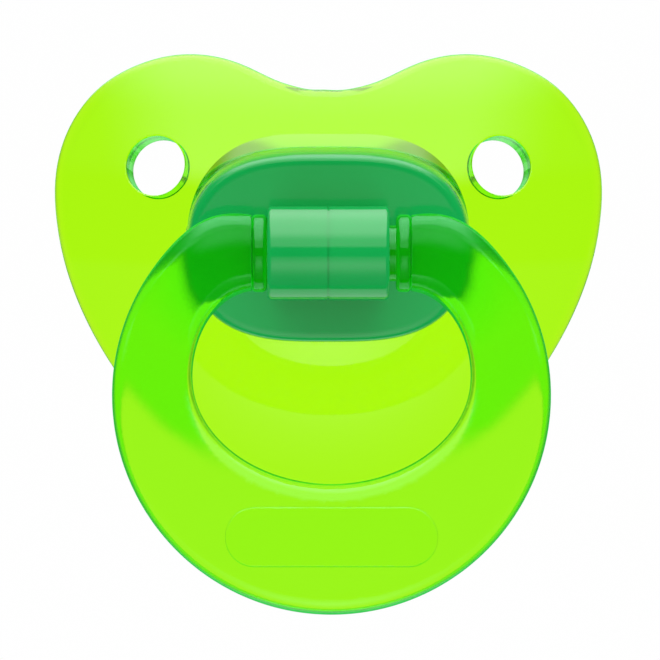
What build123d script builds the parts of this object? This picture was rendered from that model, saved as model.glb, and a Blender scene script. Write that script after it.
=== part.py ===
from build123d import *
import math
import os

# Soother with a hinged ring handle, standing upright as seen from the front.
# Millimetres.  +Z up, +X to the right seen from the front, +Y towards the
# mouth (the teat side), so front faces look along -Y.  The origin is where the
# teat axis crosses the plane that touches the shield's domed front at its apex.

SIDES = (-1, 1)

# ---- dimensions shared between the pieces -----------------------------------
# outline of the ring holder, which is also the outline of its seat
CAP_HALF_WIDTH = 11.68
CAP_HALF_HEIGHT = 7.88
CAP_SQUARENESS = (3.2, 2.2)     # superellipse exponents along x and along z
SEAT_Y = 1.25                   # plane on which the holder is seated

# four posts of the holder, plugged into the shield
POST_R = 0.80
POST_TIP_Y = 3.60
POST_CENTRES = [(side * 6.95, level * 4.55) for side in SIDES for level in SIDES]

# teat, its neck and the flange clamped between shield and plug
TEAT_OVAL = 0.76                # height to width ratio
FLANGE_R = 7.6
FLANGE_Y0 = 2.25
FLANGE_Y1 = 3.25
NECK_R = 6.0
NECK_BORE_R = NECK_R - 1.2

# hinge between holder and ring, along X at z = 0
AXIS_Y = -7.80
BARREL_HALF = 4.90              # half length of the barrel
BORE_WEB = 1.10                 # half thickness of the web between the two bores
PIN_R = 2.25


# ---- helpers ----------------------------------------------------------------
def superellipse_point(a, b, squareness, angle):
    cosine, sine = math.cos(angle), math.sin(angle)
    return (a * math.copysign(abs(cosine) ** (2.0 / squareness[0]), cosine),
            b * math.copysign(abs(sine) ** (2.0 / squareness[1]), sine))


def superellipse_face(a, b, squareness, y=0.0, centre_z=0.0, count=48):
    points = []
    for i in range(count):
        x, z = superellipse_point(a, b, squareness, 2.0 * math.pi * (i + 0.5) / count)
        points.append(Vector(x, y, centre_z + z))
    return Face(Wire([Edge.make_spline(points, periodic=True)]))


def prism(face, y0, y1):
    return Solid.extrude(Pos(0, y0, 0) * face, Vector(0, y1 - y0, 0))


def y_cylinder(radius, y0, y1, x=0.0, z=0.0):
    return Pos(x, 0.5 * (y0 + y1), z) * Rot(90, 0, 0) * Cylinder(radius, y1 - y0)


def x_cylinder(radius, x0, x1, y=0.0):
    """Cylinder along X; its ends may be given in either order."""
    return Pos(0.5 * (x0 + x1), y, 0) * Rot(0, 90, 0) * Cylinder(radius, abs(x1 - x0))


def flatten_to_oval(shape):
    return scale(shape, by=(1.0, 1.0, TEAT_OVAL))


def oval_disc(radius, y0, y1):
    return flatten_to_oval(y_cylinder(radius, y0, y1))


def lines(*points):
    """Straight edges through (radius, y) points, for a turned profile."""
    return [Edge.make_line(Vector(*p), Vector(*q)) for p, q in zip(points, points[1:])]


def turned(edges):
    """Profile turned about the teat axis, then flattened to the teat's oval."""
    return flatten_to_oval(Solid.revolve(Face(Wire(edges)), 360.0, Axis((0, 0, 0), (0, 1, 0))))


def path_lengths(points):
    """Running length of a polyline at each of its points."""
    lengths = [0.0]
    for p, q in zip(points, points[1:]):
        lengths.append(lengths[-1] + math.hypot(q[0] - p[0], q[1] - p[1]))
    return lengths


def resample(points, spans, measure=None):
    """Divide a polyline into equal spans of its length, or of another running measure."""
    if measure is None:
        measure = path_lengths(points)
    result = []
    k = 0
    for i in range(spans + 1):
        target = i / spans * measure[-1]
        while k < len(measure) - 2 and measure[k + 1] < target:
            k += 1
        w = (target - measure[k]) / (measure[k + 1] - measure[k])
        p, q = points[k], points[k + 1]
        result.append((p[0] + w * (q[0] - p[0]), p[1] + w * (q[1] - p[1])))
    return result


# ---- shield -----------------------------------------------------------------
SHIELD_T = 2.2                  # wall thickness
DOME_RH = 58.0                  # horizontal radius of the domed front
DOME_RV = 36.0                  # vertical radius of the domed front
DOME_APEX_Z = -3.0
DOME_HALF_ARC = 46.0            # degrees of the vertical arc above and below the apex
DOME_SWEEP = 72.0               # degrees swept about the vertical axis
RIM_ROUND = 0.85                # rounding of both rim edges
RIM_TOP_Z = 12.41
RIM_CHIN_Z = -21.40
RIM_HALF = [                    # right half of the rim, notch to chin (x, z)
    (1.40, 12.43), (2.89, 12.71), (4.31, 13.15), (6.04, 13.93),
    (8.47, 14.83), (11.02, 15.20), (13.59, 14.99), (16.42, 14.07),
    (18.96, 12.53), (20.90, 10.37), (22.21, 7.70), (22.80, 4.56),
    (22.64, 1.31), (22.04, -1.80), (21.08, -4.73), (19.86, -7.44),
    (18.42, -10.00), (16.75, -12.45), (14.75, -14.80), (12.40, -16.95),
    (9.70, -18.80), (6.70, -20.20), (3.40, -21.10),
]

VENT_R = 2.5                    # ventilation holes
VENT_X = 14.35
VENT_Z = 6.26
VENT_ROUND = 0.12

SEAT_FOOT_Y = 3.00              # where the flared seat wall ends inside the shield
SEAT_FOOT_HALF_WIDTH = CAP_HALF_WIDTH + 0.05
SEAT_FOOT_HALF_HEIGHT = CAP_HALF_HEIGHT + 0.35
SEAT_FOOT_SQUARENESS = (2.4, 2.1)
SEAT_LIFT = 1.95                # how far the wall flares upwards by then
SEAT_CLEARANCE = 0.06           # round the holder's outline

BOSS_HALF_WIDTH = 10.0          # pad behind the shield
BOSS_HALF_HEIGHT = 6.9
BOSS_SQUARENESS = (2.8, 2.8)
BOSS_Y0 = 3.0
BOSS_Y1 = 5.6
BOSS_ROUND = 0.7

OPENING_R = NECK_R + 0.03
COUNTERBORE_R = FLANGE_R + 0.06
COUNTERBORE_Y = FLANGE_Y1 + 0.02
POST_HOLE_R = POST_R + 0.03
POST_HOLE_Y = POST_TIP_Y + 0.15


def dome_arc(radius):
    """Vertical arc in the plane x = 0, with its lower and upper ends."""
    angle = math.radians(DOME_HALF_ARC)
    end_y = DOME_RV - radius * math.cos(angle)
    rise = radius * math.sin(angle)
    low = Vector(0, end_y, DOME_APEX_Z - rise)
    middle = Vector(0, DOME_RV - radius, DOME_APEX_Z)
    high = Vector(0, end_y, DOME_APEX_Z + rise)
    return Edge.make_three_point_arc(low, middle, high), low, high


def build_plate():
    """Domed plate cut to the rim outline, with rounded rim edges."""
    front, front_low, front_high = dome_arc(DOME_RV)
    back, back_low, back_high = dome_arc(DOME_RV - SHIELD_T)
    profile = Face(Wire([
        front, Edge.make_line(front_high, back_high),
        back, Edge.make_line(back_low, front_low),
    ]))
    dome_axis = Axis((0, DOME_RH, 0), (0, 0, 1))
    dome = Solid.revolve(profile.rotate(dome_axis, -DOME_SWEEP / 2), DOME_SWEEP, dome_axis)

    rim_points = [Vector(0, 0, RIM_TOP_Z)]
    rim_points += [Vector(x, 0, z) for x, z in RIM_HALF]
    rim_points += [Vector(0, 0, RIM_CHIN_Z)]
    rim_points += [Vector(-x, 0, z) for x, z in reversed(RIM_HALF)]
    rim = Face(Wire([Edge.make_spline(rim_points, periodic=True)]))
    plate = prism(rim, -6.0, 20.0) & dome
    return fillet([edge for edge in plate.edges() if edge.length > 60.0], RIM_ROUND)


def vent_cutter(side):
    """Cylinder square to the domed front at one ventilation hole."""
    dome_r = (DOME_RH - DOME_RV) + math.sqrt(DOME_RV ** 2 - (VENT_Z - DOME_APEX_Z) ** 2)
    vent_y = DOME_RH - math.sqrt(dome_r ** 2 - VENT_X ** 2)
    elevation = math.asin((VENT_Z - DOME_APEX_Z) / DOME_RV)
    azimuth = math.asin(VENT_X / dome_r)
    outward = Vector(
        side * math.sin(azimuth) * math.cos(elevation),
        -math.cos(azimuth) * math.cos(elevation),
        math.sin(elevation),
    )
    return Plane(origin=(side * VENT_X, vent_y, VENT_Z), z_dir=outward) * Cylinder(VENT_R, 14.0)


def is_vent_edge(edge):
    centre = edge.bounding_box().center()
    return (abs(edge.length - 2 * math.pi * VENT_R) < 0.8
            and abs(abs(centre.X) - VENT_X) < 1.2
            and abs(centre.Z - VENT_Z) < 1.2)


def build_shield():
    # raised seat for the holder, flaring upwards into the dome
    seat_front = superellipse_face(CAP_HALF_WIDTH, CAP_HALF_HEIGHT, CAP_SQUARENESS, SEAT_Y)
    seat_foot = superellipse_face(SEAT_FOOT_HALF_WIDTH, SEAT_FOOT_HALF_HEIGHT,
                                  SEAT_FOOT_SQUARENESS, SEAT_FOOT_Y, SEAT_LIFT)
    seat = Solid.make_loft([seat_front.outer_wire(), seat_foot.outer_wire()], True)
    shield = build_plate() + seat

    # pad behind, around the neck of the teat
    boss = prism(superellipse_face(BOSS_HALF_WIDTH, BOSS_HALF_HEIGHT, BOSS_SQUARENESS),
                 BOSS_Y0, BOSS_Y1)
    boss_rim = [edge for edge in boss.edges()
                if edge.center().Y > BOSS_Y1 - 0.01 and edge.length > 20]
    shield = shield + fillet(boss_rim, BOSS_ROUND)
    shield = shield - oval_disc(OPENING_R, 0.0, 8.0)
    shield = shield - oval_disc(COUNTERBORE_R, -3.0, COUNTERBORE_Y)
    for x, z in POST_CENTRES:
        shield = shield - y_cylinder(POST_HOLE_R, -2.0, POST_HOLE_Y, x, z)

    # nothing of the dome stands in front of the seat plane under the holder
    seat_outline = superellipse_face(CAP_HALF_WIDTH + SEAT_CLEARANCE,
                                     CAP_HALF_HEIGHT + SEAT_CLEARANCE, CAP_SQUARENESS)
    shield = shield - prism(seat_outline, -4.0, SEAT_Y)

    for side in SIDES:
        shield = shield - vent_cutter(side)
    return fillet([edge for edge in shield.edges() if is_vent_edge(edge)], VENT_ROUND)


# ---- ring holder ------------------------------------------------------------
CAP_FRONT_Y = -4.30
BEVEL_IN = 1.05                 # bevel round the front face, measured inwards
BEVEL_DEEP = 0.46               # depth of its shallow inner part
BEVEL_SIDE = 2.20               # and of its steep outer part
BEVEL_STEPS = (                 # loft sections, from the inner edge (0) to the outer (1)
    0.0, 0.12, 0.24, 0.35, 0.45, 0.54, 0.62, 0.69, 0.75, 0.80, 0.85, 0.89, 0.93, 0.965, 1.0)
CAP_WALL = 1.35
CAP_FLOOR_Y = -2.70             # floor of the hollow, which opens to the back
POST_ROOT = 0.4                 # how far the posts start inside the front wall

BARREL_R = 3.80
BARREL_ROUND = 0.35
GROOVE_HALF = 0.08              # half width of the fine groove round the barrel's middle
GROOVE_DEPTH = 0.08
BORE_R = PIN_R + 0.07
FOOT_WIDTH = 2 * BARREL_HALF - 0.7      # block joining the barrel to the cap
FOOT_HEIGHT = 5.2
FOOT_BACK_Y = CAP_FRONT_Y + 0.6


def cap_outline(inset, y, spans=24):
    """Holder outline as two splines that meet at its left and right ends."""
    a, b = CAP_HALF_WIDTH - inset, CAP_HALF_HEIGHT - inset
    dense = [superellipse_point(a, b, CAP_SQUARENESS, math.pi * k / 800) for k in range(801)]
    even = resample(dense, spans)
    even[0], even[-1] = (a, 0.0), (-a, 0.0)
    upper = [Vector(x, y, z) for x, z in even]
    lower = [Vector(x, y, -z) for x, z in reversed(even)]
    up, down = Vector(0, 0, 1), Vector(0, 0, -1)
    return Wire([
        Edge.make_spline(upper, tangents=[up, down]),
        Edge.make_spline(lower, tangents=[down, up]),
    ])


def build_cap():
    """Bevelled cap, hollow from behind, with four posts."""
    bevel_wires = []
    for u in BEVEL_STEPS:
        depth = BEVEL_DEEP * (1.0 - math.sqrt(1.0 - u * u)) + BEVEL_SIDE * u ** 7
        bevel_wires.append(cap_outline(BEVEL_IN * (1.0 - u), CAP_FRONT_Y + depth))
    bevel = Solid.make_loft(bevel_wires, True)
    body_y = CAP_FRONT_Y + BEVEL_DEEP + BEVEL_SIDE
    cap = Solid.extrude(Face(bevel_wires[-1]), Vector(0, SEAT_Y - body_y, 0)) + bevel

    hollow = superellipse_face(CAP_HALF_WIDTH - CAP_WALL, CAP_HALF_HEIGHT - CAP_WALL,
                               CAP_SQUARENESS)
    cap = cap - prism(hollow, CAP_FLOOR_Y, SEAT_Y + 1.0)
    for x, z in POST_CENTRES:
        cap = cap + y_cylinder(POST_R, CAP_FLOOR_Y - POST_ROOT, POST_TIP_Y, x, z)
    return cap


def build_barrel():
    barrel = x_cylinder(BARREL_R, -BARREL_HALF, BARREL_HALF, AXIS_Y)
    end_edges = [edge for edge in barrel.edges()
                 if abs(abs(edge.center().X) - BARREL_HALF) < 0.01]
    barrel = fillet(end_edges, BARREL_ROUND)
    groove = (x_cylinder(BARREL_R + 1.0, -GROOVE_HALF, GROOVE_HALF, AXIS_Y)
              - x_cylinder(BARREL_R - GROOVE_DEPTH, -0.5, 0.5, AXIS_Y))
    return barrel - groove


def build_holder():
    foot = (Pos(0, 0.5 * (AXIS_Y + FOOT_BACK_Y), 0)
            * Box(FOOT_WIDTH, FOOT_BACK_Y - AXIS_Y, FOOT_HEIGHT))
    holder = build_cap() + build_barrel() + foot
    for side in SIDES:
        holder = holder - x_cylinder(BORE_R, side * BORE_WEB, side * (BARREL_HALF + 1.0), AXIS_Y)
    return holder


# ---- ring handle ------------------------------------------------------------
# Built hanging, with the hinge axis at the local origin; depths are below it.
RING_TILT = 12.0                # rest position, ring swung outwards from hanging
RING_SHIFT = 0.25               # rest position within its end play
RING_R = 17.65                  # outer outline
RING_DEPTH = 11.45              # depth of its centre
CORNER_R = 3.4                  # rounded corner between arm and outer outline
ARM_R = 3.05                    # half height of the arms beside the holder
ARM_HALF_T = 2.45               # and half thickness
ARM_X = 6.45                    # where the collar meets the arm
SWING_R = 3.25                  # arms kept within this radius, clear of the holder
BAND_HALF_T = 1.72              # half thickness of the lower band

COLLAR_X = BARREL_HALF + 0.30   # inner face of the collar
COLLAR_R = 3.13
COLLAR_ROUND = 0.42
PIN_TIP_X = BORE_WEB + 0.35
PIN_CHAMFER = 0.3

WINDOW_DEPTH = 9.95             # where the window's upper and lower curves meet
WINDOW_A = 11.2                 # half axes of its lower half
WINDOW_B = 8.75
WINDOW_CORNER_X = 6.0           # centre and half axes of its upper corners
WINDOW_CORNER_A = 5.2
WINDOW_CORNER_B = 6.95

PAD_FRONT = 1.95                # front plane of the plain raised name plate
PAD_DEPTH = 23.0
PAD_LENGTH = 17.0
PAD_WIDTH = 4.8
PAD_ROUND = 0.12

STATION_SPANS = 17              # spans between loft sections on each half of the ring
SECTION_SPANS = 20              # spans between spline points on each half section
EDGE_SQUARENESS = 2.2           # section exponent through the thickness
TURN_WEIGHT = 2.5               # millimetres that one radian of turning counts for


def smooth(t):
    t = max(0.0, min(1.0, t))
    return t * t * (3.0 - 2.0 * t)


def outline_outer():
    """Collar to chin along the outside, as (x, depth)."""
    corner_depth = CORNER_R - ARM_R
    corner_x = math.sqrt((RING_R - CORNER_R) ** 2 - (RING_DEPTH - corner_depth) ** 2)
    points = [(ARM_X + (corner_x - ARM_X) * i / 10.0, -ARM_R) for i in range(10)]
    join = math.atan2(RING_DEPTH - corner_depth, corner_x)
    for i in range(16):
        a = math.pi / 2 + (join - math.pi / 2) * i / 15.0
        points.append((corner_x + CORNER_R * math.cos(a), corner_depth - CORNER_R * math.sin(a)))
    for i in range(1, 121):
        a = join + (-math.pi / 2 - join) * i / 120.0
        points.append((RING_R * math.cos(a), RING_DEPTH - RING_R * math.sin(a)))
    return points


def outline_inner():
    """Collar to chin along the window, as (x, depth)."""
    start = math.acos((ARM_X - WINDOW_CORNER_X) / WINDOW_CORNER_A)
    points = []
    for i in range(61):
        a = start * (1 - i / 60.0)
        points.append((WINDOW_CORNER_X + WINDOW_CORNER_A * math.cos(a),
                       WINDOW_DEPTH - WINDOW_CORNER_B * math.sin(a)))
    for i in range(1, 81):
        a = -math.pi / 2 * i / 80.0
        points.append((WINDOW_A * math.cos(a), WINDOW_DEPTH - WINDOW_B * math.sin(a)))
    return points


def middle_and_half_width(outer, inner):
    middle = ((outer[0] + inner[0]) / 2, (outer[1] + inner[1]) / 2)
    return middle, math.hypot(outer[0] - inner[0], outer[1] - inner[1]) / 2


def section_half(outer, inner):
    """Front half of one section, as (across, thickness) from its outer to its inner side."""
    (_, depth), half_width = middle_and_half_width(outer, inner)
    half_t = ARM_HALF_T + (BAND_HALF_T - ARM_HALF_T) * smooth((depth - 0.4) / 7.0)
    squareness = (5.5 + 8.5 * smooth((depth - 0.5) / 10.0), EDGE_SQUARENESS)
    dense = [superellipse_point(half_width, half_t, squareness, math.pi * k / 1200)
             for k in range(1201)]

    # evenly spread by length and by turning, so the rounded edges get their share
    measure = [0.0]
    last = math.pi / 2
    for (u0, n0), (u1, n1) in zip(dense, dense[1:]):
        heading = math.atan2(n1 - n0, u1 - u0)
        step = math.hypot(u1 - u0, n1 - n0) + TURN_WEIGHT * abs(heading - last)
        measure.append(measure[-1] + step)
        last = heading
    return resample(dense, SECTION_SPANS, measure)


def section_wire(outer, inner, half, knots):
    middle, half_width = middle_and_half_width(outer, inner)
    across_x = (outer[0] - middle[0]) / half_width
    across_depth = (outer[1] - middle[1]) / half_width

    def at(across, thickness):
        return Vector(middle[0] + across * across_x, -thickness,
                      -(middle[1] + across * across_depth))

    front = [at(across, thickness) for across, thickness in half]
    front[0], front[-1] = at(half_width, 0.0), at(-half_width, 0.0)
    back = [at(across, -thickness) for across, thickness in reversed(half)]
    back[0], back[-1] = front[-1], front[0]
    forward, backward = Vector(0, -1, 0), Vector(0, 1, 0)
    return Wire([
        Edge.make_spline(front, tangents=[forward, backward], parameters=knots),
        Edge.make_spline(back, tangents=[backward, forward],
                         parameters=[1.0 - knot for knot in reversed(knots)]),
    ])


def build_band():
    """Both arms and the lower band, lofted from collar to collar."""
    right = list(zip(resample(outline_outer(), STATION_SPANS),
                     resample(outline_inner(), STATION_SPANS)))
    left = [((-outer[0], outer[1]), (-inner[0], inner[1]))
            for outer, inner in reversed(right[:-1])]
    stations = right + left
    halves = [section_half(outer, inner) for outer, inner in stations]

    # one set of spline parameters for every section keeps the lofted surface simple
    knots = [0.0] * (SECTION_SPANS + 1)
    for half in halves:
        chord = path_lengths(half)
        knots = [knot + c / chord[-1] / len(halves) for knot, c in zip(knots, chord)]
    knots[0], knots[-1] = 0.0, 1.0

    wires = [section_wire(outer, inner, half, knots)
             for (outer, inner), half in zip(stations, halves)]
    return Solid.make_loft(wires, False)


def build_name_plate():
    x = PAD_LENGTH / 2
    low, high = -PAD_DEPTH - PAD_WIDTH / 2, -PAD_DEPTH + PAD_WIDTH / 2
    corners = [Vector(-x, 0, low), Vector(x, 0, low), Vector(x, 0, high), Vector(-x, 0, high)]
    face = Face(Wire.make_polygon(corners, close=True))
    pad = Solid.extrude(face, Vector(0, -PAD_FRONT, 0))
    pad = fillet([edge for edge in pad.edges() if abs(edge.tangent_at(0.5).Y) > 0.9],
                 PAD_WIDTH / 2 - 0.05)
    return fillet([edge for edge in pad.edges() if edge.center().Y < -PAD_FRONT + 0.01],
                  PAD_ROUND)


def build_ring():
    # the heels of the arms turn past the holder's face
    heel = Pos(0, 0, 1.9) * Box(24.6, 9.0, 5.0) - x_cylinder(SWING_R, -13.0, 13.0)
    ring = Part() + build_band() - heel
    for side in SIDES:
        collar = x_cylinder(COLLAR_R, side * COLLAR_X, side * (ARM_X + 0.02))
        collar = fillet([edge for edge in collar.edges()
                         if edge.length > 10 and edge.geom_type == GeomType.CIRCLE], COLLAR_ROUND)
        pin = x_cylinder(PIN_R, side * PIN_TIP_X, side * (COLLAR_X + 0.4))
        pin = chamfer([edge for edge in pin.edges()
                       if abs(abs(edge.center().X) - PIN_TIP_X) < 0.01], PIN_CHAMFER)
        ring = ring + collar + pin
    ring = ring + build_name_plate()
    return Pos(RING_SHIFT, AXIS_Y, 0) * Rot(-RING_TILT, 0, 0) * ring


# ---- teat: hollow bulb, flange and neck -------------------------------------
TEAT_OUTER = [                  # neck to tip (radius, y)
    (NECK_R, 6.2), (5.50, 9.0), (5.15, 12.0), (5.75, 16.0), (7.15, 20.4),
    (7.85, 24.4), (7.15, 28.4), (4.7, 31.0), (0.0, 32.0),
]
TEAT_INNER = [
    (NECK_BORE_R, 6.7), (4.25, 9.4), (3.95, 12.0), (4.5, 16.0), (5.85, 20.4),
    (6.5, 24.3), (5.85, 27.7), (3.7, 30.0), (0.0, 30.8),
]


def bulb_curve(points):
    """Spline that leaves along the neck and crosses the axis squarely."""
    return Edge.make_spline([Vector(*p) for p in points],
                            tangents=[Vector(0, 1, 0), Vector(-1, 0, 0)])


def build_teat():
    flange = lines((NECK_BORE_R, FLANGE_Y0), (FLANGE_R, FLANGE_Y0), (FLANGE_R, FLANGE_Y1),
                   (NECK_R, FLANGE_Y1), TEAT_OUTER[0])
    tip = lines(TEAT_OUTER[-1], TEAT_INNER[-1])
    neck_bore = lines(TEAT_INNER[0], (NECK_BORE_R, FLANGE_Y0))
    return turned(flange + [bulb_curve(TEAT_OUTER)] + tip + [bulb_curve(TEAT_INNER)] + neck_bore)


# ---- teat plug: closes the neck and clamps the flange -----------------------
PLUG_Y0 = SEAT_Y + 0.01
PLUG_Y1 = FLANGE_Y0 - 0.02
PLUG_FLOOR_Y = PLUG_Y1 + 0.2
PLUG_TUBE_R = NECK_BORE_R - 0.02
PLUG_TUBE_Y = 6.4
PLUG_TUBE_CHAMFER = 0.4
PLUG_BORE_R = 3.5
PLUG_VENT_R = 0.5


def build_plug():
    return turned(lines(
        (PLUG_VENT_R, PLUG_Y0),
        (FLANGE_R, PLUG_Y0),
        (FLANGE_R, PLUG_Y1),
        (PLUG_TUBE_R, PLUG_Y1),
        (PLUG_TUBE_R, PLUG_TUBE_Y - PLUG_TUBE_CHAMFER),
        (PLUG_TUBE_R - PLUG_TUBE_CHAMFER, PLUG_TUBE_Y),
        (PLUG_BORE_R, PLUG_TUBE_Y),
        (PLUG_BORE_R, PLUG_FLOOR_Y),
        (PLUG_VENT_R, PLUG_FLOOR_Y),
        (PLUG_VENT_R, PLUG_Y0),
    ))


os.makedirs("parts", exist_ok=True)
export_step(build_shield(), "parts/shield.step")
export_step(build_holder(), "parts/ring_holder.step")
export_step(build_ring(), "parts/ring_handle.step")
export_step(build_teat(), "parts/teat.step")
export_step(build_plug(), "parts/teat_plug.step")
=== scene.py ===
import math

import bpy
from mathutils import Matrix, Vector


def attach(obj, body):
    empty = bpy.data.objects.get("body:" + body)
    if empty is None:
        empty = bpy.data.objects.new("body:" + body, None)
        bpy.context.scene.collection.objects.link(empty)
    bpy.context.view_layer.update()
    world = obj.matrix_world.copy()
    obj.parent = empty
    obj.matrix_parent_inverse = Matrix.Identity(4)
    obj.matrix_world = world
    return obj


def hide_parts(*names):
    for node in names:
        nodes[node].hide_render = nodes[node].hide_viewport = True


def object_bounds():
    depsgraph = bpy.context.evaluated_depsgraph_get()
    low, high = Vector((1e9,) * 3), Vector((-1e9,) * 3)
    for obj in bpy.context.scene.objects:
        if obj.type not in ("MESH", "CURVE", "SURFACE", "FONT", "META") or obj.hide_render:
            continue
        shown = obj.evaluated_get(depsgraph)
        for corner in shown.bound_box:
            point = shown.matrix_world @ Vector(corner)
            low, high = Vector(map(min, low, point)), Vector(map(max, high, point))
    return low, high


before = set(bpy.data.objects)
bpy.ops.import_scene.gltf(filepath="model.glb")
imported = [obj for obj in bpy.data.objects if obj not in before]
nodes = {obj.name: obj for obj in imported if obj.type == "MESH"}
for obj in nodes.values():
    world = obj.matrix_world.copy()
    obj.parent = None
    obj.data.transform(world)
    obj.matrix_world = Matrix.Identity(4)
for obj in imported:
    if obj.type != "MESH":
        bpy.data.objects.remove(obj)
cad_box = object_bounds()
scene = bpy.context.scene

# ------------------------------------------------------------------ camera
ELEV = math.radians(6.5)
DIST = 0.400
PX_PER_M = 12130.0
TARGET_Z = -0.0071170
SENSOR = 36.0

forward = Vector((0.0, math.cos(ELEV), -math.sin(ELEV)))
target = Vector((0.0, 0.0, TARGET_Z))
cam_data = bpy.data.cameras.new("camera")
cam = bpy.data.objects.new("camera", cam_data)
scene.collection.objects.link(cam)
cam.location = target - forward * DIST
cam.rotation_mode = "QUATERNION"
cam.rotation_quaternion = forward.to_track_quat("-Z", "Y")
cam_data.type = "PERSP"
cam_data.sensor_fit = "AUTO"
cam_data.sensor_width = SENSOR
cam_data.lens = SENSOR * PX_PER_M * DIST / 660.0
cam_data.shift_x = 1.6 / 660.0
cam_data.clip_start = 0.01
cam_data.clip_end = 20.0
scene.camera = cam

# ------------------------------------------------------------------ colour and light paths
scene.view_settings.view_transform = "Standard"
scene.view_settings.look = "None"
scene.view_settings.exposure = 0.0
scene.view_settings.gamma = 1.0
cy = scene.cycles
cy.max_bounces = 40
cy.transmission_bounces = 32
cy.glossy_bounces = 32
cy.diffuse_bounces = 4
cy.transparent_max_bounces = 16
cy.volume_bounces = 2
cy.caustics_refractive = True
cy.caustics_reflective = True
cy.sample_clamp_indirect = 6.0
cy.blur_glossy = 0.3
cy.use_denoising = True


# ------------------------------------------------------------------ node helpers
def lin(r, g, b):
    def f(c):
        c /= 255.0
        return c / 12.92 if c <= 0.04045 else ((c + 0.055) / 1.055) ** 2.4
    return (f(r), f(g), f(b), 1.0)


class Tree:
    def __init__(self, tree):
        self.t = tree
        tree.nodes.clear()

    def add(self, kind, **inputs):
        n = self.t.nodes.new(kind)
        for k, v in inputs.items():
            if k.startswith("_"):
                setattr(n, k[1:], v)
        for k, v in inputs.items():
            if not k.startswith("_"):
                key = int(k[1:]) if k[0] == "i" and k[1:].isdigit() else k.replace("__", " ")
                sock = n.inputs[key]
                if isinstance(v, bpy.types.NodeSocket):
                    self.t.links.new(v, sock)
                else:
                    sock.default_value = v
        return n

    def link(self, a, b):
        self.t.links.new(a, b)

    def math(self, op, a, b=None, clamp=False):
        n = self.t.nodes.new("ShaderNodeMath")
        n.operation = op
        n.use_clamp = clamp
        for i, v in enumerate((a, b)):
            if v is None:
                continue
            if isinstance(v, bpy.types.NodeSocket):
                self.t.links.new(v, n.inputs[i])
            else:
                n.inputs[i].default_value = v
        return n.outputs[0]

    def smoothstep(self, value, lo, hi, out_lo=0.0, out_hi=1.0):
        n = self.t.nodes.new("ShaderNodeMapRange")
        n.interpolation_type = "SMOOTHSTEP"
        self.t.links.new(value, n.inputs["Value"])
        n.inputs["From Min"].default_value = lo
        n.inputs["From Max"].default_value = hi
        n.inputs["To Min"].default_value = out_lo
        n.inputs["To Max"].default_value = out_hi
        return n.outputs["Result"]


# ------------------------------------------------------------------ world: a white panel behind the object, darker surroundings
world = bpy.data.worlds.new("studio")
scene.world = world
world.use_nodes = True
w = Tree(world.node_tree)
lp = w.add("ShaderNodeLightPath")
tc = w.add("ShaderNodeTexCoord")
# the camera's place, kept current by plain drivers, so the panel stands behind the object from any side
cam_at = w.add("ShaderNodeCombineXYZ")
for i, channel in enumerate(("LOC_X", "LOC_Y", "LOC_Z")):
    d = cam_at.inputs[i].driver_add("default_value").driver
    d.type = "AVERAGE"
    v = d.variables.new()
    v.type = "TRANSFORMS"
    v.targets[0].id = cam
    v.targets[0].transform_type = channel
    v.targets[0].transform_space = "WORLD_SPACE"
centre = (cad_box[0] + cad_box[1]) / 2
away = w.add("ShaderNodeVectorMath", _operation="SUBTRACT", i0=tuple(centre), i1=cam_at.outputs[0])
axis = w.add("ShaderNodeVectorMath", _operation="NORMALIZE", i0=away.outputs[0])
ray = w.add("ShaderNodeVectorMath", _operation="NORMALIZE", i0=tc.outputs["Generated"])
dot = w.add("ShaderNodeVectorMath", _operation="DOT_PRODUCT", i0=ray.outputs[0], i1=axis.outputs[0])
cosine = dot.outputs["Value"]     # +1 straight away from the camera
gen = w.add("ShaderNodeSeparateXYZ", i0=ray.outputs[0])
up = gen.outputs["Z"]

# directions as seen from the camera: depth runs away from it, side to the right
flat = w.add("ShaderNodeVectorMath", _operation="MULTIPLY", i0=axis.outputs[0], i1=(1.0, 1.0, 0.0))
ahead = w.add("ShaderNodeVectorMath", _operation="NORMALIZE", i0=flat.outputs[0])
depth = w.add("ShaderNodeVectorMath", _operation="DOT_PRODUCT", i0=ray.outputs[0], i1=ahead.outputs[0]).outputs["Value"]
right = w.add("ShaderNodeVectorMath", _operation="CROSS_PRODUCT", i0=ahead.outputs[0], i1=(0.0, 0.0, 1.0))
side = w.add("ShaderNodeVectorMath", _operation="DOT_PRODUCT", i0=ray.outputs[0], i1=right.outputs[0]).outputs["Value"]

across = w.math("ABSOLUTE", side)

# what shows through clear plastic: the white panel behind, narrower sideways than upwards, and a bright ceiling
panel = w.smoothstep(cosine, 0.05, 0.60, 0.30, 1.0)
panel = w.math("MULTIPLY", panel, w.smoothstep(across, 0.34, 0.80, 1.0, 0.50))
overhead = w.smoothstep(up, 0.10, 0.55, 0.0, 1.0)
room = w.smoothstep(cosine, -0.25, 0.10, 0.62, 0.24)
through = w.math("MAXIMUM", w.math("MAXIMUM", panel, overhead), room)

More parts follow.
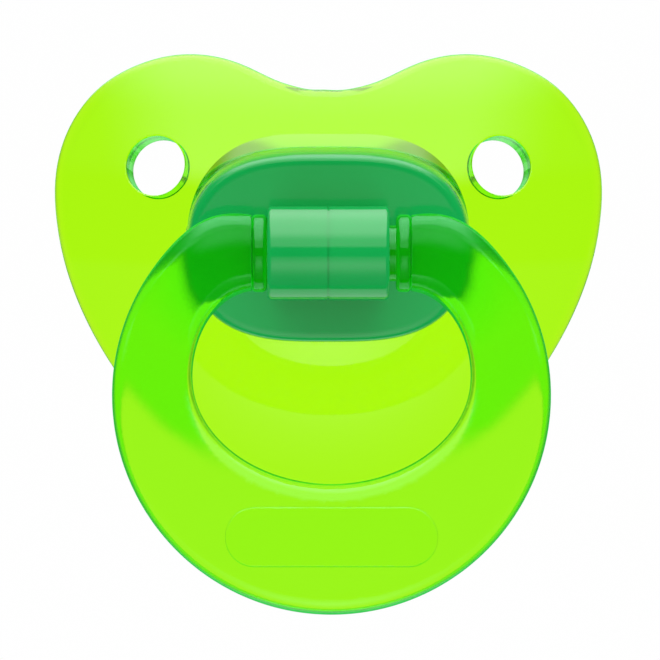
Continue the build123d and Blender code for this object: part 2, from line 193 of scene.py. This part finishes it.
# what the polished surfaces mirror: a soft tent above, a dim table with a light patch in front, a white sweep behind
tent = w.math("MULTIPLY", w.smoothstep(up, 0.31, 0.42, 0.0, 1.42), w.smoothstep(across, 0.36, 0.64, 1.0, 0.06))
lamp = w.math("MULTIPLY", w.smoothstep(up, 0.60, 0.90, 0.0, 2.2), w.smoothstep(across, 0.40, 0.80, 1.0, 0.2))
lamp = w.math("MULTIPLY", lamp, w.smoothstep(depth, 0.2, 0.8, 1.0, 0.45))
narrow = w.smoothstep(across, 0.22, 0.50, 1.0, 0.10)
sweep_up = w.math("MULTIPLY", w.smoothstep(depth, 0.0, 0.40, 0.0, 0.9), narrow)
sweep_down = w.math("MULTIPLY", w.smoothstep(depth, 0.02, 0.10, 0.0, 1.0), narrow)
sweep = w.add("ShaderNodeMix", _data_type="FLOAT", i0=w.smoothstep(up, -0.30, 0.05), i2=sweep_down, i3=sweep_up).outputs[0]
patch_s = w.math("POWER", w.math("DIVIDE", side, 0.27), 2.0)
patch_u = w.math("POWER", w.math("DIVIDE", w.math("ADD", up, 0.40), 0.30), 2.0)
patch = w.math("EXPONENT", w.math("MULTIPLY", w.math("ADD", patch_s, patch_u), -1.0))
patch = w.math("MULTIPLY", patch, w.smoothstep(depth, -0.3, 0.0, 1.35, 0.0))
patch = w.math("MULTIPLY", patch, w.smoothstep(up, -0.07, -0.01, 1.0, 0.0))
table = w.smoothstep(up, -0.07, -0.01, 0.13, 0.03)
mirror = w.math("ADD", w.math("MAXIMUM", w.math("ADD", tent, lamp), sweep), w.math("ADD", patch, table))

# even light for matt scattering, a little more from above and from the white table
fill = w.math("ADD", w.smoothstep(up, 0.1, 0.9, 0.60, 1.05), w.smoothstep(up, -0.9, -0.1, 0.45, 0.0))
mix_cam = w.add("ShaderNodeMix", _data_type="FLOAT", i0=lp.outputs["Is Camera Ray"], i2=through, i3=1.0)
# a mirror reflection off an outer surface; a ray that went through glass is flagged glossy as well
first = w.math("LESS_THAN", lp.outputs["Ray Depth"], 2.5)
mirrored = w.math("MULTIPLY", first, w.math("MULTIPLY", lp.outputs["Is Glossy Ray"], w.math("SUBTRACT", 1.0, lp.outputs["Is Transmission Ray"])))
mix_glossy = w.add("ShaderNodeMix", _data_type="FLOAT", i0=mirrored, i2=mix_cam.outputs[0], i3=mirror)
mix_diff = w.add("ShaderNodeMix", _data_type="FLOAT", i0=lp.outputs["Is Diffuse Ray"], i2=mix_glossy.outputs[0], i3=fill)
bg = w.add("ShaderNodeBackground", Color=(1, 1, 1, 1), Strength=mix_diff.outputs[0])
wo = w.add("ShaderNodeOutputWorld", Surface=bg.outputs[0])

# ------------------------------------------------------------------ floor: plain, pale, seen only by the camera
lo, hi = cad_box
floor_mesh = bpy.data.meshes.new("floor")
z0 = lo.z - 0.0006
s = 4.0
floor_mesh.from_pydata([(-s, -s, z0), (s, -s, z0), (s, s, z0), (-s, s, z0)], [], [(0, 1, 2, 3)])
floor = bpy.data.objects.new("floor", floor_mesh)
scene.collection.objects.link(floor)
fm = bpy.data.materials.new("floor_white")
fm.use_nodes = True
t = Tree(fm.node_tree)
noise = t.add("ShaderNodeTexNoise", Scale=3.0, Detail=2.0)
tone = t.smoothstep(noise.outputs["Fac"], 0.2, 0.8, 0.995, 1.01)
em = t.add("ShaderNodeEmission", Color=(1, 1, 1, 1), Strength=tone)
t.add("ShaderNodeOutputMaterial", Surface=em.outputs[0])
floor_mesh.materials.append(fm)
floor.visible_glossy = False
floor.visible_transmission = False
floor.visible_diffuse = False
floor.visible_shadow = False
floor.visible_volume_scatter = False


# ------------------------------------------------------------------ lights
def area(name, location, look_at, size_x, size_y, power, colour=(1, 1, 1)):
    d = bpy.data.lights.new(name, "AREA")
    d.shape = "RECTANGLE"
    d.size, d.size_y = size_x, size_y
    d.energy = power
    d.color = colour
    o = bpy.data.objects.new(name, d)
    scene.collection.objects.link(o)
    o.location = location
    o.rotation_mode = "QUATERNION"
    o.rotation_quaternion = (Vector(look_at) - Vector(location)).to_track_quat("-Z", "Y")
    return o


def on_sphere(az, el, r):
    a, e = math.radians(az), math.radians(el)
    return (r * math.sin(a) * math.cos(e), -r * math.cos(a) * math.cos(e), r * math.sin(e))


def panel_power(size_x, size_y, radiance):
    # a Lambertian one-sided rectangle: power = pi * area * radiance
    return math.pi * size_x * size_y * radiance


softbox = area("softbox", on_sphere(0, 52, 0.8), (0, 0, 0), 1.02, 0.62, panel_power(1.02, 0.62, 1.2))
softbox.visible_glossy = False
softbox.visible_transmission = False
softbox.visible_camera = False


# ------------------------------------------------------------------ materials
def new_material(name):
    m = bpy.data.materials.new(name)
    m.use_nodes = True
    return m, Tree(m.node_tree)


def absorb(t, at_mm, transmit):
    # absorption volume whose light at at_mm millimetres of path is transmit (linear r, g, b)
    sig = [-math.log(max(1e-4, c)) / (at_mm * 0.001) for c in transmit]
    d = max(sig)
    col = tuple(1.0 - x / d for x in sig) + (1.0,)
    return t.add("ShaderNodeVolumeAbsorption", Color=col, Density=d)


def moulded_bump(t, scale, strength, distance=0.00002):
    # the faint unevenness of an injection-moulded, polished surface
    geo = t.add("ShaderNodeTexCoord")
    n1 = t.add("ShaderNodeTexNoise", Vector=geo.outputs["Object"], Scale=scale, Detail=2.0, Roughness=0.4)
    return t.add("ShaderNodeBump", Strength=strength, Distance=distance, Height=n1.outputs["Fac"])


def clear_plastic(name, ior, at_mm, transmit, bump_scale, bump_strength, blur=0.0, gloss=0.0, haze=0.0, haze_colour=(1, 1, 1, 1), painted_edge=0.0, edge_from=0.5, painted_edge_colour=(1, 1, 1, 1), shine_colour=(1, 1, 1, 1), edge_shine=(1, 1, 1, 1), most=0.30):
    # blur softens what is seen through the piece, gloss what its surface mirrors; haze is light scattered in the
    # plastic, and the edge weight and colour lay a painted edge tone where the surface turns away from the eye
    m, t = new_material(name)
    bump = moulded_bump(t, bump_scale, bump_strength)
    seen = t.add("ShaderNodeBsdfRefraction", Color=(1, 1, 1, 1), Roughness=blur, IOR=ior, Normal=bump.outputs[0])
    facing = t.add("ShaderNodeLayerWeight", Blend=0.5).outputs["Facing"]
    rim = t.smoothstep(facing, edge_from, 1.0)
    # painted edge tone: towards grazing angles the matt layer takes the edge colour, standing in for the edge shading
    # that light bending and reflecting in clear plastic gives
    tone = t.add("ShaderNodeMix", _data_type="RGBA", i0=rim, i6=haze_colour, i7=painted_edge_colour)
    haze_and_painted_edge = t.add("ShaderNodeBsdfDiffuse", Color=tone.outputs[2], Normal=bump.outputs[0])
    outside = t.math("SUBTRACT", 1.0, t.add("ShaderNodeNewGeometry").outputs["Backfacing"])
    # the painted edge tone is mixed in over the see-through plastic where the surface turns from the eye
    amount = t.math("MULTIPLY", outside, t.math("ADD", haze, t.math("MULTIPLY", rim, painted_edge)))
    body = t.add("ShaderNodeMixShader", i0=amount, i1=seen.outputs[0], i2=haze_and_painted_edge.outputs[0])
    mirror_tone = t.add("ShaderNodeMix", _data_type="RGBA", i0=rim, i6=shine_colour, i7=edge_shine)
    shine = t.add("ShaderNodeBsdfGlossy", Color=mirror_tone.outputs[2], Roughness=gloss, Normal=bump.outputs[0])
    fresnel = t.add("ShaderNodeFresnel", IOR=ior, Normal=bump.outputs[0])
    limit = t.math("ADD", t.math("MULTIPLY", outside, most - 1.0), 1.0)
    share = t.math("MINIMUM", fresnel.outputs[0], limit)
    both = t.add("ShaderNodeMixShader", i0=share, i1=body.outputs[0], i2=shine.outputs[0])
    vol = absorb(t, at_mm, transmit)
    t.add("ShaderNodeOutputMaterial", Surface=both.outputs[0], Volume=vol.outputs[0])
    return m


# the third colour in each call is a painted edge tone, laid on at grazing angles in place of refracted edge shading
shield_mat = clear_plastic("lime_clear_plastic", 1.50, 2.2, (0.450, 0.985, 0.006), 60.0, 0.15, 0.0, 0.02,
                           0.0, (0.2, 0.9, 0.05, 1), 0.95, 0.50, (0.06, 0.74, 0.10, 1), (1, 1, 1, 1), (0.3, 1.0, 0.4, 1))
ring_mat = clear_plastic("green_clear_plastic", 1.50, 3.44, (0.385, 0.985, 0.010), 60.0, 0.15, 0.22, 0.02,
                         0.08, (0.02, 0.80, 0.03, 1), 1.10, 0.48, (0.02, 0.56, 0.05, 1), (0.45, 1.0, 0.75, 1), (0.15, 0.9, 0.35, 1), 0.16)
silicone_mat = clear_plastic("clear_silicone", 1.41, 2.0, (0.93, 0.94, 0.90), 40.0, 0.2, 0.25, 0.12,
                             0.34, (0.86, 0.90, 0.84, 1), 0.55, 0.35, (0.80, 0.85, 0.80, 1), (0.9, 0.93, 0.9, 1), (0.9, 0.93, 0.9, 1), 0.16)

holder_mat, t = new_material("milky_green_plastic")
bump = moulded_bump(t, 80.0, 0.2)
geo = t.add("ShaderNodeTexCoord")
cloud = t.add("ShaderNodeTexNoise", Vector=geo.outputs["Object"], Scale=90.0, Detail=3.0)
tint = t.add("ShaderNodeMix", _data_type="RGBA", i0=t.smoothstep(cloud.outputs["Fac"], 0.3, 0.7), i6=(0.0050, 0.415, 0.078, 1), i7=(0.0062, 0.440, 0.086, 1))
pr = t.add("ShaderNodeBsdfPrincipled", Base__Color=tint.outputs[2], Roughness=0.10, IOR=1.5, Normal=bump.outputs[0])
pr.inputs["Subsurface Weight"].default_value = 0.15
pr.inputs["Subsurface Radius"].default_value = (0.4, 1.0, 0.6)
pr.inputs["Subsurface Scale"].default_value = 0.0015
t.add("ShaderNodeOutputMaterial", Surface=pr.outputs[0])

plug_mat, t = new_material("natural_plastic")
bump = moulded_bump(t, 80.0, 0.2)
pr = t.add("ShaderNodeBsdfPrincipled", Base__Color=(0.66, 0.72, 0.62, 1), Roughness=0.4, IOR=1.49, Normal=bump.outputs[0])
pr.inputs["Subsurface Weight"].default_value = 0.3
pr.inputs["Subsurface Radius"].default_value = (1.0, 1.0, 1.0)
pr.inputs["Subsurface Scale"].default_value = 0.0015
t.add("ShaderNodeOutputMaterial", Surface=pr.outputs[0])


def dress(node, material):
    o = nodes[node]
    o.data.materials.clear()
    o.data.materials.append(material)


dress("shield", shield_mat)
dress("ring_handle", ring_mat)
dress("ring_holder", holder_mat)
dress("teat", silicone_mat)
dress("teat_plug", plug_mat)


# ------------------------------------------------------------------ teat: soft silicone, in its own mesh
def through_points(points, steps):
    # a smooth curve through the points (radius, distance along the axis), flat at both ends as given by its neighbours
    n = len(points)
    out = []
    for i in range(n - 1):
        p0 = points[i - 1] if i > 0 else (points[0][0], points[0][1] - 1.0)
        p1, p2 = points[i], points[i + 1]
        p3 = points[i + 2] if i + 2 < n else (-points[i][0], points[i][1])
        for k in range(steps):
            u = k / steps
            out.append(tuple(0.5 * (2 * b + (c - a) * u + (2 * a - 5 * b + 4 * c - d) * u * u + (3 * b - a - 3 * c + d) * u ** 3)
                             for a, b, c, d in zip(p0, p1, p2, p3)))
    out.append(points[-1])
    return out


def bell(x, centre, width):
    return math.exp(-((x - centre) / width) ** 2)


OVAL = 0.76
outer_line = through_points([(6.0, 6.2), (5.50, 9.0), (5.15, 12.0), (5.75, 16.0), (7.15, 20.4), (7.85, 24.4),
                             (7.15, 28.4), (4.7, 31.0), (0.0, 32.0)], 16)
inner_line = through_points([(4.8, 6.7), (4.25, 9.4), (3.95, 12.0), (4.5, 16.0), (5.85, 20.4), (6.5, 24.3),
                             (5.85, 27.7), (3.7, 30.0), (0.0, 30.8)], 14)
flange = [(4.8, 2.28), (6.2, 2.27), (7.25, 2.27), (7.46, 2.32), (7.56, 2.45), (7.58, 2.75), (7.56, 3.05), (7.46, 3.18),
          (7.25, 3.23), (6.5, 3.23), (6.05, 3.23), (6.0, 3.4), (6.0, 4.8)]
AROUND = 144
verts, faces = [], []


def outer_at(r, y, a):
    # three soft flex rings at the neck, a fine parting line on both sides, a small gate mark at the tip
    r2 = r + 0.11 * (bell(y, 7.9, 0.28) + bell(y, 8.9, 0.28) + bell(y, 9.9, 0.28))
    seam = min(abs(math.sin(a)), 1.0)
    r2 += 0.045 * bell(seam, 0.0, 0.022) * min(1.0, r / 2.0)
    y2 = y - 0.12 * bell(r, 0.0, 0.55) + 0.05 * bell(r, 0.9, 0.22)
    return r2, y2


def inner_at(r, y, a):
    # eight shallow ribs inside that keep the soft walls apart
    k = max(0.0, math.cos(8 * a)) ** 2 * min(1.0, max(0.0, (y - 11.0) / 3.0)) * min(1.0, max(0.0, (27.0 - y) / 4.0))
    return r - 0.28 * k, y


def ring_of(r, y, shape):
    first = len(verts)
    for k in range(AROUND):
        a = 2 * math.pi * k / AROUND
        r2, y2 = shape(r, y, a)
        verts.append((0.001 * r2 * math.cos(a), 0.001 * y2, 0.001 * OVAL * r2 * math.sin(a)))
    return first


def plain_at(r, y, a):
    return r, y


rows = [ring_of(r, y, inner_at) for r, y in reversed(inner_line[:-1])]
rows += [ring_of(r, y, plain_at) for r, y in flange]
rows += [ring_of(r, y, outer_at) for r, y in outer_line[:-1]]
for a0, b0 in zip(rows, rows[1:]):
    for k in range(AROUND):
        k2 = (k + 1) % AROUND
        faces.append((a0 + k, a0 + k2, b0 + k2, b0 + k))
inner_tip = len(verts)
verts.append((0.0, 0.001 * 30.8, 0.0))
outer_tip = len(verts)
verts.append((0.0, 0.001 * (32.0 - 0.12), 0.0))
for k in range(AROUND):
    k2 = (k + 1) % AROUND
    faces.append((inner_tip, rows[0] + k2, rows[0] + k))
    faces.append((outer_tip, rows[-1] + k, rows[-1] + k2))
soft_mesh = bpy.data.meshes.new("soft_teat")
soft_mesh.from_pydata(verts, [], faces)
soft_mesh.polygons.foreach_set("use_smooth", [True] * len(soft_mesh.polygons))
soft_mesh.materials.append(silicone_mat)
soft_mesh.update()
soft_teat = bpy.data.objects.new("soft_teat", soft_mesh)
scene.collection.objects.link(soft_teat)
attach(soft_teat, "soother_body")
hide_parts("teat")

# light reaches the holder as if the clear pieces over it cast no shade
for n in ("ring_handle", "shield"):
    nodes[n].visible_shadow = False
    nodes[n].visible_diffuse = False
